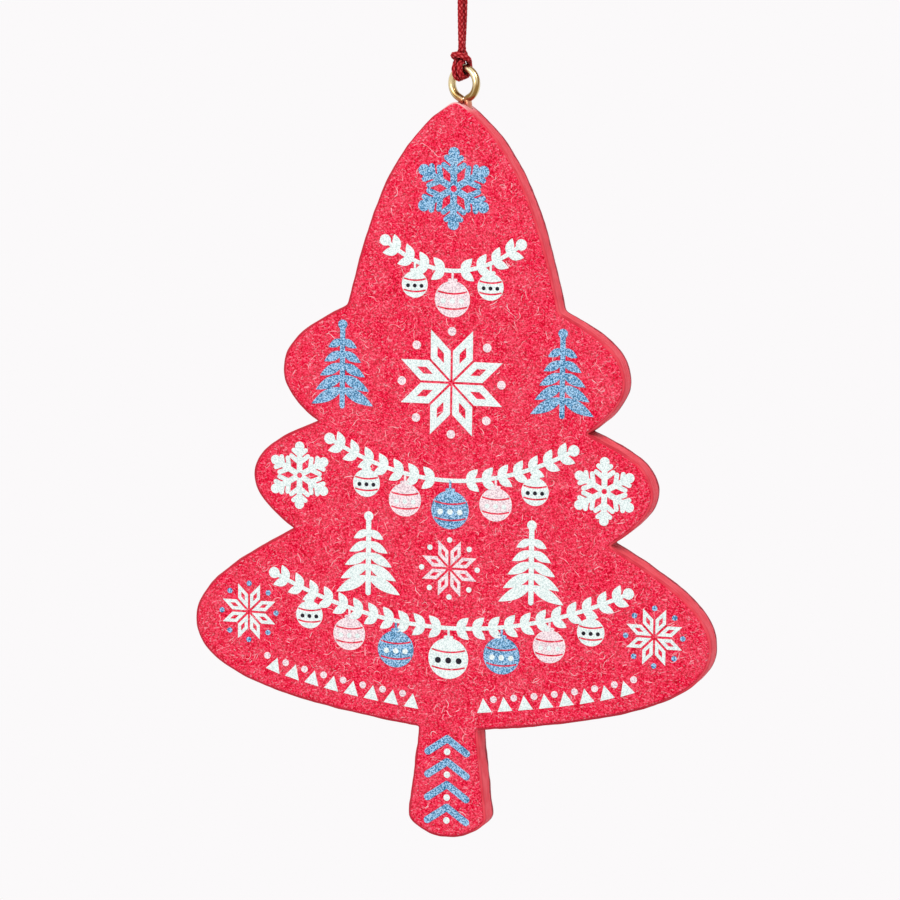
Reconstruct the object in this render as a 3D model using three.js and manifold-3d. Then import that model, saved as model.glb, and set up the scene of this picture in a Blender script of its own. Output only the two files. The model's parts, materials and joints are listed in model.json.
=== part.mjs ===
// Tree ornament of pressed paper pulp: a cut-out board faced with paper on both sides,
// hung from a brass screw eye on a doubled cord. Millimetres, +Z up, +Y towards the back.
// The origin is the point of the cord's loop that a hook or twig holds.
import * as THREE from 'three';
import { mergeVertices } from 'three/addons/utils/BufferGeometryUtils.js';
import Module from 'manifold-3d';

// Board outline: half widths from its middle line, drops measured from the feature above.
const BOARD_HEIGHT = 110;
const TIP_HALF_WIDTH = 0.6;
const TIP_DROP = 0.0014 * BOARD_HEIGHT;
const NOTCH_1_HALF_WIDTH = 16.1;
const NOTCH_1_DROP = 0.2768 * BOARD_HEIGHT;
const LOBE_1_HALF_WIDTH = 26.1;
const LOBE_1_DROP = 0.0918 * BOARD_HEIGHT;
const NOTCH_2_HALF_WIDTH = 20.4;
const NOTCH_2_DROP = 0.0673 * BOARD_HEIGHT;
const LOBE_2_HALF_WIDTH = 30.6;
const LOBE_2_DROP = 0.08 * BOARD_HEIGHT;
const NOTCH_3_HALF_WIDTH = 24.1;
const NOTCH_3_DROP = 0.0691 * BOARD_HEIGHT;
const LOBE_3_HALF_WIDTH = 39.8;
const LOBE_3_DROP = 0.1336 * BOARD_HEIGHT;
const TRUNK_TOP_HALF_WIDTH = 4.35;
const TRUNK_TOP_DROP = 0.1282 * BOARD_HEIGHT;
const TRUNK_FOOT_HALF_WIDTH = 5.8;
const TRUNK_LENGTH = 0.1218 * BOARD_HEIGHT;
const TRUNK_FOOT_CROWN = 0.03 * BOARD_HEIGHT;

// Handles of the outline's curves, right and up from the ends of each stretch.
const SLOPE_LEAD = [9.3, -6];
const SLOPE_TRAIL = [-2.7, 11.8];
const LOBE_1_LEAD = [5.8, -2.9];
const LOBE_1_TRAIL = [0, 4.7];
const NOTCH_2_LEAD = [0, -2.2];
const NOTCH_2_TRAIL = [3.6, 2.3];
const LOBE_2_LEAD = [5.3, -2.4];
const LOBE_2_TRAIL = [0, 4.6];
const NOTCH_3_LEAD = [0, -2.3];
const NOTCH_3_TRAIL = [4, 2.6];
const LOBE_3_LEAD = [7.4, -4.3];
const LOBE_3_TRAIL = [0, 6];
const HEM_LEAD = [0, -6.6];
const HEM_TRAIL = [25.5, 2.8];

// Board layers
const CORE_THICKNESS = 4.3;
const CORE_EDGE_ROUND = 0.32;
const PAPER_THICKNESS = 0.2;
const PAPER_EDGE_ROUND = 0.08;
const PAPER_INSET = 0.35;

// Screw eye
const WIRE_DIAMETER = 1.15;
const RING_RADIUS = 2.24;
const RING_SEAM_GAP = 0.15;
const RING_JOIN_ANGLE = -64;
const RING_END_LEAD = 28;
const NECK_RISE = 0.9;
const NECK_BEND = 0.7;
const SHANK_OFFSET = 0.8;
const SHANK_LENGTH = 8;
const SHANK_POINT = 1.8;
const EYE_TURN = -21.5;
const EYE_STANDOFF = 0.1;
const EYE_SINK = 0.3;
const EYE_BED_RADIUS = 2;
const EYE_FROM_MIDDLE = 1.4;
const BORE_CLEARANCE = 0.3;
const BORE_END_CLEARANCE = 0.6;

// Cord
const CORD_DIAMETER = 0.8;
const STRAND_SPACING = 0.94;
const STRAND_TURN = 93;
const LOOP_LENGTH = 46;
const LOOP_OPENING = 4.6;
const LOOP_OPENING_LENGTH = 15;
const HITCH_OFF_CENTRE = 0.48;
const HITCH_CLEARANCE = 0.26;
const HITCH_HEIGHT = 3.3;
const HITCH_BAR_HEIGHT = 2.1;
const HITCH_BAR_FRONT = 1.26;
const CORD_JOINT_GAP = 0.3;
const KNOT_RADIUS = 1.25;
const KNOT_HEIGHT = 2.9;
const KNOT_RISE = 1.3;
const TAIL_LENGTH = 5.5;
const TAIL_ROOT = 0.45;
const TAIL_SPREAD = 1.6;

// Facets
const CURVE_STEPS = 11;
const WIRE_SIDES = 12;
const WIRE_STEPS = 64;
const CORD_SIDES = 8;
const HITCH_STEPS = 84;
const STRAND_STEPS = 24;
const TAIL_STEPS = 3;

const RED_PULP = new THREE.MeshStandardMaterial({ color: 0xd8364a, roughness: 0.7, metalness: 0 });
const RED_PAPER = new THREE.MeshStandardMaterial({ color: 0xe22f4c, roughness: 0.85, metalness: 0 });
const BRASS = new THREE.MeshStandardMaterial({ color: 0xc8a860, roughness: 0.3, metalness: 1 });
const RED_CORD = new THREE.MeshStandardMaterial({ color: 0xa02433, roughness: 0.6, metalness: 0 });

const wasm = await Module();
wasm.setup();

function solidOf(geometry) {
  const bare = geometry.clone();
  bare.deleteAttribute('normal');
  bare.deleteAttribute('uv');
  const merged = mergeVertices(bare, 1e-4);
  return new wasm.Manifold(new wasm.Mesh({
    numProp: 3,
    vertProperties: new Float32Array(merged.attributes.position.array),
    triVerts: new Uint32Array(merged.index.array),
  }));
}

function geometryOf(solid) {
  const mesh = solid.getMesh();
  const geometry = new THREE.BufferGeometry();
  geometry.setAttribute('position', new THREE.BufferAttribute(mesh.vertProperties, 3));
  geometry.setIndex(new THREE.BufferAttribute(mesh.triVerts, 1));
  geometry.computeVertexNormals();
  return geometry;
}

function named(name, geometry, material) {
  const mesh = new THREE.Mesh(geometry, material);
  mesh.name = name;
  return mesh;
}

function tube(curve, diameter, sides, steps) {
  const section = new THREE.Shape();
  section.absarc(0, 0, diameter / 2, 0, 2 * Math.PI);
  return new THREE.ExtrudeGeometry(section, {
    extrudePath: curve,
    steps,
    curveSegments: sides / 2,
    bevelEnabled: false,
  });
}

// The board's right half from the tip down: each stretch is a cubic curve or a straight line.
function rightHalf() {
  const stretches = [];
  let pen = new THREE.Vector2(0, 0);
  const curve = (lead, end, trail) => {
    const off = (point, [x, y]) => new THREE.Vector2(point.x + x, point.y + y);
    stretches.push({ from: pen, lead: off(pen, lead), trail: off(end, trail), to: end });
    pen = end;
  };
  const below = (halfWidth, drop) => new THREE.Vector2(halfWidth, pen.y - drop);
  const tipTrail = [-TIP_HALF_WIDTH / 3, TIP_DROP / 2];
  curve([TIP_HALF_WIDTH / 2, 0], below(TIP_HALF_WIDTH, TIP_DROP), tipTrail);
  curve(SLOPE_LEAD, below(NOTCH_1_HALF_WIDTH, NOTCH_1_DROP), SLOPE_TRAIL);
  curve(LOBE_1_LEAD, below(LOBE_1_HALF_WIDTH, LOBE_1_DROP), LOBE_1_TRAIL);
  curve(NOTCH_2_LEAD, below(NOTCH_2_HALF_WIDTH, NOTCH_2_DROP), NOTCH_2_TRAIL);
  curve(LOBE_2_LEAD, below(LOBE_2_HALF_WIDTH, LOBE_2_DROP), LOBE_2_TRAIL);
  curve(NOTCH_3_LEAD, below(NOTCH_3_HALF_WIDTH, NOTCH_3_DROP), NOTCH_3_TRAIL);
  curve(LOBE_3_LEAD, below(LOBE_3_HALF_WIDTH, LOBE_3_DROP), LOBE_3_TRAIL);
  curve(HEM_LEAD, below(TRUNK_TOP_HALF_WIDTH, TRUNK_TOP_DROP), HEM_TRAIL);
  const foot = below(TRUNK_FOOT_HALF_WIDTH, TRUNK_LENGTH);
  stretches.push({ from: pen, to: foot });
  pen = foot;
  const footTrail = [0.6 * TRUNK_FOOT_HALF_WIDTH, 0];
  curve([0, -TRUNK_FOOT_CROWN / 2], below(0, TRUNK_FOOT_CROWN), footTrail);
  return stretches;
}

function boardOutline() {
  const half = rightHalf();
  const mirror = (point) => point && new THREE.Vector2(-point.x, point.y);
  const otherHalf = half.toReversed().map((s) => ({
    from: mirror(s.to),
    lead: mirror(s.trail),
    trail: mirror(s.lead),
    to: mirror(s.from),
  }));
  const shape = new THREE.Shape();
  shape.moveTo(half[0].from.x, half[0].from.y);
  for (const { lead, trail, to } of [...half, ...otherHalf]) {
    if (lead) shape.bezierCurveTo(lead.x, lead.y, trail.x, trail.y, to.x, to.y);
    else shape.lineTo(to.x, to.y);
  }
  return shape;
}

const outline = boardOutline();
const wireRadius = WIRE_DIAMETER / 2;
const cordRadius = CORD_DIAMETER / 2;

// Height of the board's top edge at a distance to the right of its middle line.
function topEdgeAt(x) {
  const points = outline.getPoints(4 * CURVE_STEPS);
  const next = points.findIndex((point) => point.x >= x);
  const [a, b] = [points[next - 1], points[next]];
  return a.y + ((b.y - a.y) * (x - a.x)) / (b.x - a.x);
}

// Height of the ring's centre above the board's tip, where the ring sinks a little into the top edge.
function ringAboveTip() {
  const reach = RING_RADIUS + wireRadius;
  const centre = EYE_FROM_MIDDLE - SHANK_OFFSET;
  const under = outline.getPoints(4 * CURVE_STEPS).filter((point) => Math.abs(point.x - centre) < reach);
  const heights = under.map((point) => point.y + Math.sqrt(reach ** 2 - (point.x - centre) ** 2));
  return Math.max(...heights) + EYE_STANDOFF - EYE_SINK;
}

// A point of the ring's round and the way its wire runs there, from the ring's centre in the XZ plane.
function onRing(angle) {
  return new THREE.Vector3(RING_RADIUS * Math.cos(angle), 0, RING_RADIUS * Math.sin(angle));
}

function alongRing(angle) {
  return new THREE.Vector3(-Math.sin(angle), 0, Math.cos(angle));
}

// The ring's last stretch leaves the round and runs straight until its cut end meets the neck.
function ringEnd() {
  const angle = THREE.MathUtils.degToRad(270 - RING_END_LEAD);
  const start = onRing(angle);
  const along = alongRing(angle);
  const endX = SHANK_OFFSET - RING_SEAM_GAP - wireRadius * (1 - along.z);
  const run = (endX - start.x) / along.x;
  return { angle, line: new THREE.LineCurve3(start, start.clone().addScaledVector(along, run)) };
}

// The lowest point of the ring's wire, from the ring's centre.
function ringFoot() {
  const { angle, line } = ringEnd();
  const lip = line.v2.z - wireRadius * alongRing(angle).x;
  return Math.min(lip, -RING_RADIUS - wireRadius);
}

// A layer cut to the outline, drawn in by inset, its edges rounded, between two depths of Y.
function layer(front, back, inset, round, roundSteps) {
  const geometry = new THREE.ExtrudeGeometry(outline, {
    depth: back - front - 2 * round,
    curveSegments: CURVE_STEPS,
    bevelThickness: round,
    bevelSize: round,
    bevelOffset: -inset - round,
    bevelSegments: roundSteps,
  });
  geometry.translate(0, 0, -back + round);
  return geometry.rotateX(Math.PI / 2);
}

const pivotHeight = -LOOP_LENGTH;
const ringDrop = Math.sqrt(RING_RADIUS ** 2 - HITCH_OFF_CENTRE ** 2);
const ringHeight = pivotHeight - ringDrop;
const neckDrop = ringAboveTip() - topEdgeAt(EYE_FROM_MIDDLE);
const eyeTurn = THREE.MathUtils.degToRad(EYE_TURN);
const shankReach = HITCH_OFF_CENTRE + SHANK_OFFSET;
const shankX = shankReach * Math.cos(eyeTurn);
const shankY = shankReach * Math.sin(eyeTurn);

// The eye's wire around the ring's centre, in the XZ plane: up the shank, over into the ring
// by a bent neck, round it, and straight on until its cut end closes on the neck.
class EyeWire extends THREE.Curve {
  constructor() {
    super();
    const joinAngle = THREE.MathUtils.degToRad(RING_JOIN_ANGLE);
    const end = ringEnd();
    this.end = end.line;
    this.ringStart = joinAngle;
    this.ringSweep = end.angle - joinAngle;
    const join = onRing(joinAngle);
    const neck = new THREE.Vector3(SHANK_OFFSET, 0, -neckDrop);
    this.neck = new THREE.CubicBezierCurve3(
      neck,
      neck.clone().setZ(NECK_RISE - neckDrop),
      join.clone().addScaledVector(alongRing(joinAngle), -NECK_BEND),
      join,
    );
    this.shank = new THREE.LineCurve3(neck.clone().setZ(-neckDrop - SHANK_LENGTH + SHANK_POINT), neck);
  }

  getPoint(t) {
    const neckFrom = 0.28;
    const ringFrom = 0.42;
    const endFrom = 0.94;
    if (t < neckFrom) return this.shank.getPoint(t / neckFrom);
    if (t < ringFrom) return this.neck.getPoint((t - neckFrom) / (ringFrom - neckFrom));
    if (t > endFrom) return this.end.getPoint((t - endFrom) / (1 - endFrom));
    return onRing(this.ringStart + (this.ringSweep * (t - ringFrom)) / (endFrom - ringFrom));
  }
}

function screwEye() {
  const overlap = 0.3;
  const pointBase = 0.45 * WIRE_DIAMETER;
  const point = new THREE.ConeGeometry(pointBase, SHANK_POINT + overlap, WIRE_SIDES);
  point.rotateX(-Math.PI / 2);
  point.translate(SHANK_OFFSET, 0, -neckDrop - SHANK_LENGTH + (SHANK_POINT + overlap) / 2);
  const wire = tube(new EyeWire(), WIRE_DIAMETER, WIRE_SIDES, WIRE_STEPS);
  return geometryOf(solidOf(wire).add(solidOf(point)));
}

function pulpCore() {
  const half = CORE_THICKNESS / 2;
  const slab = layer(-half, half, 0, CORE_EDGE_ROUND, 3);
  const boreFoot = topEdgeAt(EYE_FROM_MIDDLE) - SHANK_LENGTH - BORE_END_CLEARANCE;
  const boreLength = WIRE_DIAMETER - boreFoot;
  const boreRadius = wireRadius + BORE_CLEARANCE;
  const bore = new THREE.CylinderGeometry(boreRadius, boreRadius, boreLength, 2 * WIRE_SIDES);
  bore.rotateX(Math.PI / 2);
  bore.translate(EYE_FROM_MIDDLE, 0, boreFoot + boreLength / 2);
  const bedFloor = ringAboveTip() + ringFoot() - EYE_STANDOFF;
  const bed = new THREE.CylinderGeometry(EYE_BED_RADIUS, EYE_BED_RADIUS, WIRE_DIAMETER, 2 * WIRE_SIDES);
  bed.rotateX(Math.PI / 2);
  bed.translate(EYE_FROM_MIDDLE, 0, bedFloor + WIRE_DIAMETER / 2);
  return geometryOf(solidOf(slab).subtract(solidOf(bore)).subtract(solidOf(bed)));
}

// Half of the hitch on the ring's wire, from the cord's leg to the bar that crosses in front of
// both legs: [sideways, to the front, up] from the wire. The legs turn round each other as they rise.
function hitchHalf(side) {
  const wrap = wireRadius + cordRadius + HITCH_CLEARANCE;
  const bar = HITCH_BAR_HEIGHT;
  const leg = STRAND_SPACING / 2;
  const round = leg + CORD_DIAMETER;
  const turned = (share, up) => {
    const turn = THREE.MathUtils.degToRad(share * STRAND_TURN);
    return [leg * Math.cos(turn), -side * leg * Math.sin(turn), up];
  };
  const wireRise = Math.sqrt(RING_RADIUS ** 2 - (side * leg - HITCH_OFF_CENTRE) ** 2);
  const wire = wireRise - ringDrop;
  const under = (wrap * RING_RADIUS) / wireRise;
  const route = [
    turned(1, HITCH_HEIGHT),
    turned(0.72, 1.24 * bar),
    turned(0.34, 0.94 * bar),
    [leg, (0.4 - 0.1 * side) * wrap, 0.63 * bar],
    [leg, 0.84 * wrap, wire + 0.6 * wrap],
    [leg, wrap, wire],
    [leg, 0.7 * wrap, wire - 0.74 * under],
    [leg, 0, wire - 1.04 * under],
    [leg, -0.74 * wrap, wire - 0.74 * under],
    [leg + 0.1 * CORD_DIAMETER, -1.03 * wrap, wire],
    [leg + 0.42 * CORD_DIAMETER, -0.92 * wrap, wire + 0.58 * wrap],
    [round - 0.2 * CORD_DIAMETER, -0.5 * wrap, 0.55 * bar],
    [round + 0.08 * CORD_DIAMETER, 0.04, 0.73 * bar],
    [round - 0.05 * CORD_DIAMETER, (0.56 - 0.03 * side) * HITCH_BAR_FRONT, 0.905 * bar],
    [leg + 0.22 * CORD_DIAMETER, 0.905 * HITCH_BAR_FRONT, bar],
  ];
  return route.map(([out, front, up]) => new THREE.Vector3(side * out, -front, up));
}

function cordHitch() {
  const bar = new THREE.Vector3(0, -HITCH_BAR_FRONT, 1.03 * HITCH_BAR_HEIGHT);
  const points = [...hitchHalf(-1), bar, ...hitchHalf(1).toReversed()];
  const curve = new THREE.CatmullRomCurve3(points, false, 'centripetal');
  return tube(curve, CORD_DIAMETER, CORD_SIDES, HITCH_STEPS);
}

// One of the two strands from the hitch up to the end knot, parting around the loop's opening.
function cordStrand(side) {
  const together = STRAND_SPACING / 2;
  const apart = (LOOP_OPENING + CORD_DIAMETER) / 2;
  const foot = pivotHeight + HITCH_HEIGHT + CORD_JOINT_GAP;
  const top = KNOT_RISE - CORD_JOINT_GAP;
  const opening = -LOOP_OPENING_LENGTH;
  const route = [
    [together, foot],
    [together, foot + 0.3 * (opening - foot)],
    [together, foot + 0.6 * (opening - foot)],
    [together, foot + 0.85 * (opening - foot)],
    [together + 0.08, opening],
    [together + 0.45 * (apart - together), 0.73 * opening],
    [together + 0.85 * (apart - together), 0.5 * opening],
    [apart, 0.32 * opening],
    [together + 0.8 * (apart - together), 0.15 * opening],
    [together + 0.3 * (apart - together), 0.03 * opening],
    [together, top],
  ];
  const points = route.map(([out, up]) => new THREE.Vector3(side * out, 0, up));
  return tube(new THREE.CatmullRomCurve3(points), CORD_DIAMETER, CORD_SIDES, STRAND_STEPS);
}

// The overhand knot that ties the cord's two ends together, with their short tails.
function endKnot() {
  const profile = [];
  const rings = 8;
  for (let i = 0; i <= rings; i++) {
    const angle = -Math.PI / 2 + (Math.PI * i) / rings;
    const radius = i % rings === 0 ? 0 : KNOT_RADIUS * Math.cos(angle) ** 0.7;
    profile.push(new THREE.Vector2(radius, (KNOT_HEIGHT / 2) * Math.sin(angle)));
  }
  const bead = new THREE.LatheGeometry(profile, WIRE_SIDES);
  bead.rotateX(Math.PI / 2);
  bead.translate(0, 0, KNOT_RISE + KNOT_HEIGHT / 2);
  let knot = solidOf(bead);
  for (const side of [-1, 1]) {
    const root = new THREE.Vector3(side * TAIL_ROOT, 0, KNOT_RISE + 0.6 * KNOT_HEIGHT);
    const tailEnd = KNOT_RISE + KNOT_HEIGHT + TAIL_LENGTH;
    const tip = new THREE.Vector3(side * (TAIL_ROOT + TAIL_SPREAD), 0, tailEnd);
    const bend = new THREE.Vector3(root.x, 0, KNOT_RISE + KNOT_HEIGHT + 0.3 * TAIL_LENGTH);
    const tail = new THREE.QuadraticBezierCurve3(root, bend, tip);
    knot = knot.add(solidOf(tube(tail, CORD_DIAMETER, CORD_SIDES, TAIL_STEPS)));
  }
  return geometryOf(knot);
}

// The board hangs with the eye's shank standing in its top edge.
const board = new THREE.Group();
board.position.set(shankX - EYE_FROM_MIDDLE, shankY, ringHeight - ringAboveTip());
const coreFace = CORE_THICKNESS / 2;
const paperFace = coreFace + PAPER_THICKNESS;
board.add(
  named('pulp_core', pulpCore(), RED_PULP),
  named('front_paper', layer(-paperFace, -coreFace, PAPER_INSET, PAPER_EDGE_ROUND, 1), RED_PAPER),
  named('back_paper', layer(coreFace, paperFace, PAPER_INSET, PAPER_EDGE_ROUND, 1), RED_PAPER),
);

// The eye stands turned from the board's face, with the hitch a little off the middle of its ring.
const hanger = new THREE.Group();
hanger.rotation.z = eyeTurn;
const eye = named('screw_eye', screwEye(), BRASS);
eye.position.set(HITCH_OFF_CENTRE, 0, ringHeight);
const hitch = named('cord_hitch', cordHitch(), RED_CORD);
hitch.position.z = pivotHeight;
hanger.add(eye, hitch);

// The loop's strands rise in the plane that the hitch's legs have turned to.
const loop = new THREE.Group();
loop.rotation.z = eyeTurn + THREE.MathUtils.degToRad(STRAND_TURN);
loop.add(
  named('cord_strand_left', cordStrand(-1), RED_CORD),
  named('cord_strand_right', cordStrand(1), RED_CORD),
  named('cord_end_knot', endKnot(), RED_CORD),
);

const ornament = new THREE.Group();
ornament.add(board, hanger, loop);

export default ornament;
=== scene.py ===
import json
import math
import random

import bmesh
import bpy
from mathutils import Matrix, Vector, geometry, noise


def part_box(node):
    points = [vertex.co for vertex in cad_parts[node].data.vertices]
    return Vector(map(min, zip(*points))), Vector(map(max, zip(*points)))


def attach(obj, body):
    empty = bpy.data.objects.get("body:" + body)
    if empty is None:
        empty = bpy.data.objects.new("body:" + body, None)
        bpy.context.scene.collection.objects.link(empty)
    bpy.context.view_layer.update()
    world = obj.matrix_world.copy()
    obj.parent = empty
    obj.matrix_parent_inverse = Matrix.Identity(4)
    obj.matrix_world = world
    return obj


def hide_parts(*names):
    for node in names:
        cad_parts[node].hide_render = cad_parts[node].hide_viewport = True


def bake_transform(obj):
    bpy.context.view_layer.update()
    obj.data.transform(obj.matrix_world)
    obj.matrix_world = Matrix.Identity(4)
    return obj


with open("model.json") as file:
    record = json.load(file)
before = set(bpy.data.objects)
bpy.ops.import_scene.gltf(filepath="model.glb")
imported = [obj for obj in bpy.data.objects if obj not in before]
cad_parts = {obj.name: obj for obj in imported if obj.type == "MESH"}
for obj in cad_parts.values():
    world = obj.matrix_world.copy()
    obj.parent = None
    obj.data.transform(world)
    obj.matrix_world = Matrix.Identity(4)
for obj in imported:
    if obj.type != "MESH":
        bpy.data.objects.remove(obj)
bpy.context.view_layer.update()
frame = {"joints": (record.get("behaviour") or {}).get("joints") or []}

MM = 0.001
WELD = 1e-5
SHARP_ANGLE = math.radians(50)

# Camera, around the middle of the board
VIEW_AZIMUTH = 16.0
VIEW_ELEVATION = 7.95
VIEW_ROLL = 0.66
VIEW_DISTANCE = 596.8
VIEW_AIM_RIGHT = 0.756
VIEW_AIM_UP = -3.233
FOCAL_PIXELS = 4013
IMAGE_PIXELS = 900
SENSOR_WIDTH = 36.0

# Board: stretches of its right half from the tip down. Each has the handle that leaves the last
# point, its end as a half width and a drop from that point, and the handle that reaches the end.
HALF_OUTLINE = (
    ((0.3, 0.0), (0.6, 0.154), (-0.2, 0.077)),
    ((9.3, -6.0), (16.1, 30.448), (-2.7, 11.8)),
    ((5.8, -2.9), (26.1, 10.098), (0.0, 4.7)),
    ((0.0, -2.2), (20.4, 7.403), (3.6, 2.3)),
    ((5.3, -2.4), (30.6, 8.8), (0.0, 4.6)),
    ((0.0, -2.3), (24.1, 7.601), (4.0, 2.6)),
    ((7.4, -4.3), (39.8, 14.696), (0.0, 6.0)),
    ((0.0, -6.6), (4.35, 14.102), (25.5, 2.8)),
    ((0.4, -4.0), (5.9, 13.898), (-0.4, 4.0)),
    ((-0.9, -1.5), (0.0, 2.8), (2.6, 0.0)),
)
OUTLINE_STEP = 0.3
STRETCH_STEPS = 64
CORNER_ROUNDS = 3
CORNER_SHARE = 0.5
INSET_STEP = 0.08
INSET_SHARE = 0.15
FRONT_ROUND = 0.28
BACK_ROUND = 0.3
FRONT_RINGS = 6
SIDE_RINGS = 9
BACK_RINGS = 5
SIDE_WAVE = 0.09
TRUNK_WAVE = 0.14
TRUNK_TOP = 94.0
WAVE_RUN = 2.6
WAVE_DEPTH = 3.2
FINE_WAVE = 0.4
EDGE_SWELL = 0.2
SWELL_RUN = 12.0
BORE_CLEARANCE = 0.12
BORE_DEPTH = 8.6
BORE_SIDES = 48
BED_RADIUS = 2.0
BED_CLEARANCE = 0.06

# Facing papers. Each row of the rim is a distance in from the board's outline and a depth in the board.
PAPER_THICKNESS = 0.2
PAPER_GRID = 0.6
GRID_ROW = 0.866
PAPER_RIM = ((0.17, 0.05), (0.17, -0.07), (0.21, -0.15), (0.33, -0.2))
PAPER_WAVE = 0.035
PAPER_WAVE_RUN = 5.5
PAPER_WAVE_LAYER = 3.0
PAPER_GRAIN = 0.018
PAPER_GRAIN_RUN = 1.4
PAPER_GRAIN_LAYER = 9.0
PAPER_GRAIN_PER_MM = 4.0
PAPER_SOFTNESS = 0.18
FIBRES = 1050
FIBRE_SEED = 1050
FIBRE_MARGIN = 1.2
FIBRE_STEPS = 5
FIBRE_LENGTH = (0.6, 2.6)
FIBRE_RADIUS = (0.045, 0.08)
FIBRE_BEND = 80
FIBRE_JITTER = 18
FIBRE_TAPER = 0.45
FIBRE_SINK = 0.03
FIBRE_RISE = 0.6

# Deep, middle and pale grain and the hairs of the paper and of each ink, as screen colours
RED_PAPER = ((184, 0, 28), (239, 11, 60), (250, 75, 106), (255, 194, 206))
INKS = {
    "white": ((204, 222, 220), (234, 246, 243), (248, 254, 253), (255, 255, 255)),
    "pink": ((210, 182, 192), (248, 226, 230), (255, 241, 243), (255, 250, 250)),
    "blue": ((32, 94, 136), (104, 168, 212), (176, 214, 246), (230, 244, 255)),
    "black": ((24, 22, 30), (36, 32, 42), (52, 46, 56), (70, 60, 70)),
}

# Print
INK_HEIGHT = 0.05
INK_GRID = 0.8
INK_GRAIN_PER_MM = 4.8
INK_SOFTNESS = 0.11
ROUND_END_STEPS = 8
FIR_STEM = 0.8
FIR_TIP = 0.72
FIR_TIERS = 5
FIR_LEAN = 28
SPRIG_WIDTH = 0.62
SPRIG_KNOB = 0.85
SPRIG_STEPS = 24
SPRIG_BARE_MIDDLE = 0.8
LEAF_SPACING = 2.5
LEAF_LENGTH = 2.5
LEAF_WIDTH = 1.3
LEAF_LEAN = 42
BALL_DROP = 1.5
BALL_STRING = 0.34
BALL_CAP = 0.5
BALL_CAP_RISE = 0.1
BAND_WIDTH = 0.26
BAND_STEPS = 6
BORDER_INSET = 2.5
BORDER_TOP = 85.4
BORDER_FOOT = 93.0
BORDER_START = 5.5
BORDER_DOT = 0.52
BORDER_DOT_RISE = 1.9
TOOTH_SPACING = 3.3
TOOTH_HALF_WIDTH = 1.15
TOOTH_HEIGHT = 2.2
CHEVRONS = 4
CHEVRON_DROP = 95.0
CHEVRON_SPACING = 3.5
CHEVRON_REACH = 3.0
CHEVRON_FALL = 2.1
CHEVRON_WIDTH = 1.1
CHEVRON_DOT = 0.5
CHEVRON_DOT_DROP = 2.0

# Screw eye
WIRE_RADIUS = 0.575
RING_RADIUS = 2.24
RING_JOIN = math.radians(-64)
RING_END = math.radians(242)
RING_STEPS = 120
SEAM_GAP = 0.06
SHANK_OFFSET = 0.8
SHANK_LENGTH = 8.0
SHANK_POINT = 1.8
SHANK_STEPS = 40
POINT_SHARE = 0.08
NECK_RISE = 0.9
NECK_LEAD = 0.7
NECK_STEPS = 24
THREAD_PITCH = 0.8
THREAD_DEPTH = 0.13
THREAD_END = 0.9
THREAD_FADE = 0.8
EYE_STEP = 0.08
EYE_SIDES = 32

# Cord
CORD_RADIUS = 0.44
STRAND_SPACING = 0.92
STRAND_TURN = math.radians(82)
FOOT_TURN = math.radians(112)
FOOT_HEIGHT = -42.7
FOOT_RISE = 6.5
HITCH_OFF_CENTRE = 0.48
HITCH_HEIGHT = 3.3
BAR_HEIGHT = 2.02
BAR_ARCH = 1.03
BAR_FRONT = 1.26
HITCH_CLEARANCE = 0.16
# Where the hitch's turns leave the ring for the bar, on its left and right: [outward from the strand,
# to the front, up as a share of the bar's height]
HITCH_TURNS = {
    -1: ((0.62, -0.56, 0.55), (0.62, 0.04, 0.73), (0.53, 0.74, 0.905), (0.16, 1.14, 1.0)),
    1: ((0.27, -0.72, 0.57), (0.6, -0.15, 0.68), (0.64, 0.6, 0.84), (0.19, 1.14, 0.98)),
}
KNOT_SPACING = 0.36
TAIL_OUT = 0.3
TAIL_SPREAD = 1.6
TAIL_TOP = 9.4
YARNS = 4
YARN_ROUND = 0.85
YARN_DIVE = 0.3
BRAID_CORE = 0.78
BRAID_RELIEF = 0.26
BRAID_PITCH = 0.9
BRAID_STEP = 0.07
CORD_SIDES = 32
DOME_HEIGHT = 0.6
DOME_LIFTS = (0.6, 0.9)

# Stage
FLOOR_DROP = 250.0
FLOOR_RADIUS = 420.0
FLOOR_THICKNESS = 8.0
FLOOR_SIDES = 96
BACKDROP = (251, 249, 250)
ROOM_LIGHT = 0.5


def metres(point):
    return Vector(point) * MM


def millimetres(node):
    return [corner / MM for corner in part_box(node)]


core_low, core_high = millimetres("pulp_core")
AXIS_X = (core_low.x + core_high.x) / 2
TIP_Z = core_high.z
FRONT_Y = core_low.y
BACK_Y = core_high.y
BOARD_CENTRE = (core_low + core_high) / 2
joints = {joint["name"]: joint for joint in frame["joints"]}
PIVOT = Vector(joints["eye_swing"]["pos_m"]) / MM
HANGER_X = Vector((*joints["eye_swing"]["axis"][:2], 0)).normalized()
HANGER_Y = Vector((0, 0, 1)).cross(HANGER_X)
SHANK_HEAD = Vector(joints["eye_turn"]["pos_m"]) / MM
NECK_Z = millimetres("screw_eye")[0].z + SHANK_LENGTH
RING_DROP = math.sqrt(RING_RADIUS ** 2 - HITCH_OFF_CENTRE ** 2)


# Meshes

def add_mesh(name, points, faces, material, uv=None):
    mesh = bpy.data.meshes.new(name)
    mesh.from_pydata([metres(p) for p in points], [], faces)
    if uv:
        layer = mesh.uv_layers.new(name="surface")
        layer.data.foreach_set("uv", [value for corner in uv for value in corner])
    mesh.materials.append(material)
    mesh.polygons.foreach_set("use_smooth", [True] * len(mesh.polygons))
    mesh.set_sharp_from_angle(angle=SHARP_ANGLE)
    mesh.update()
    piece = bpy.data.objects.new(name, mesh)
    bpy.context.scene.collection.objects.link(piece)
    return piece


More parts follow.
